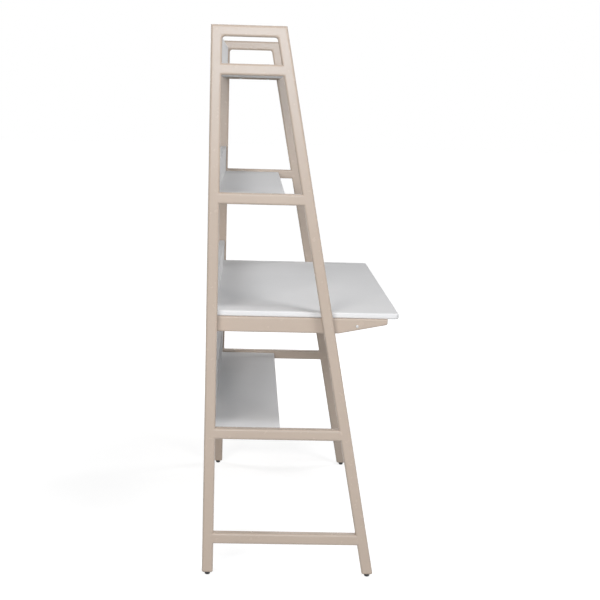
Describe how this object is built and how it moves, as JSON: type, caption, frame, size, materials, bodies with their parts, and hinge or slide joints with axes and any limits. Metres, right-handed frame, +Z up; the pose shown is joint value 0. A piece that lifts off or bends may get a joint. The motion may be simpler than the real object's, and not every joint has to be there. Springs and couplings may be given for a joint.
{
  "type": "ladder desk",
  "caption": "Ladder desk: leaning A-shaped side frames of square steel tube carry a deep desk board, narrow shelves and upright back boards, on screw-in levelling feet.",
  "frame": {"origin": "on the floor, below the middle of the desk's outline", "axes": "+Z up, +X to the sitter's right, +Y away from the sitter towards the desk's back"},
  "size_m": [1.2, 0.525, 1.5],
  "materials": {
    "frame_paint": "satin warm beige powder coat",
    "white_board": "satin white lacquered fibreboard",
    "plug_plastic": "moulded plastic in the frame's beige",
    "foot_plastic": "semi-gloss black moulded plastic",
    "zinc_steel": "bright zinc plating"
  },
  "bodies": {
    "desk": {"left_back_post": "frame_paint", "left_front_leg": "frame_paint", "left_top_rail": "frame_paint", "left_top_shelf_rail": "frame_paint", "left_mid_shelf_rail": "frame_paint", "left_low_shelf_rail": "frame_paint", "left_foot_rail": "frame_paint", "left_desk_arm": "frame_paint", "left_top_shelf_tabs": "frame_paint", "left_mid_shelf_tabs": "frame_paint", "left_low_shelf_tabs": "frame_paint", "left_back_tabs": "frame_paint", "left_back_plug": "plug_plastic", "left_front_plug": "plug_plastic", "right_back_post": "frame_paint", "right_front_leg": "frame_paint", "right_top_rail": "frame_paint", "right_top_shelf_rail": "frame_paint", "right_mid_shelf_rail": "frame_paint", "right_low_shelf_rail": "frame_paint", "right_foot_rail": "frame_paint", "right_desk_arm": "frame_paint", "right_top_shelf_tabs": "frame_paint", "right_mid_shelf_tabs": "frame_paint", "right_low_shelf_tabs": "frame_paint", "right_back_tabs": "frame_paint", "right_back_plug": "plug_plastic", "right_front_plug": "plug_plastic", "desk_top": "white_board", "top_shelf": "white_board", "mid_shelf": "white_board", "low_shelf": "white_board", "desk_back_board": "white_board", "top_back_board": "white_board", "mid_back_board": "white_board", "low_back_board": "white_board", "tie_bar": "frame_paint", "tie_bar_plugs": "zinc_steel", "tie_bar_bolts": "zinc_steel", "shelf_screws": "zinc_steel", "desk_screws": "zinc_steel", "back_tab_screws": "zinc_steel", "edge_screws": "zinc_steel"},
    "left_back_foot_body": {"left_back_foot": "foot_plastic", "left_back_stud": "zinc_steel"},
    "left_front_foot_body": {"left_front_foot": "foot_plastic", "left_front_stud": "zinc_steel"},
    "right_back_foot_body": {"right_back_foot": "foot_plastic", "right_back_stud": "zinc_steel"},
    "right_front_foot_body": {"right_front_foot": "foot_plastic", "right_front_stud": "zinc_steel"}
  },
  "joints": [
    {"name": "left_back_foot_screw", "type": "slide", "parent": "desk", "child": "left_back_foot_body", "axis": [0, 0, -1], "range_m": [-0.0007, 0.012]},
    {"name": "left_front_foot_screw", "type": "slide", "parent": "desk", "child": "left_front_foot_body", "axis": [0, 0, -1], "range_m": [-0.0007, 0.012]},
    {"name": "right_back_foot_screw", "type": "slide", "parent": "desk", "child": "right_back_foot_body", "axis": [0, 0, -1], "range_m": [-0.0007, 0.012]},
    {"name": "right_front_foot_screw", "type": "slide", "parent": "desk", "child": "right_front_foot_body", "axis": [0, 0, -1], "range_m": [-0.0007, 0.012]}
  ]
}
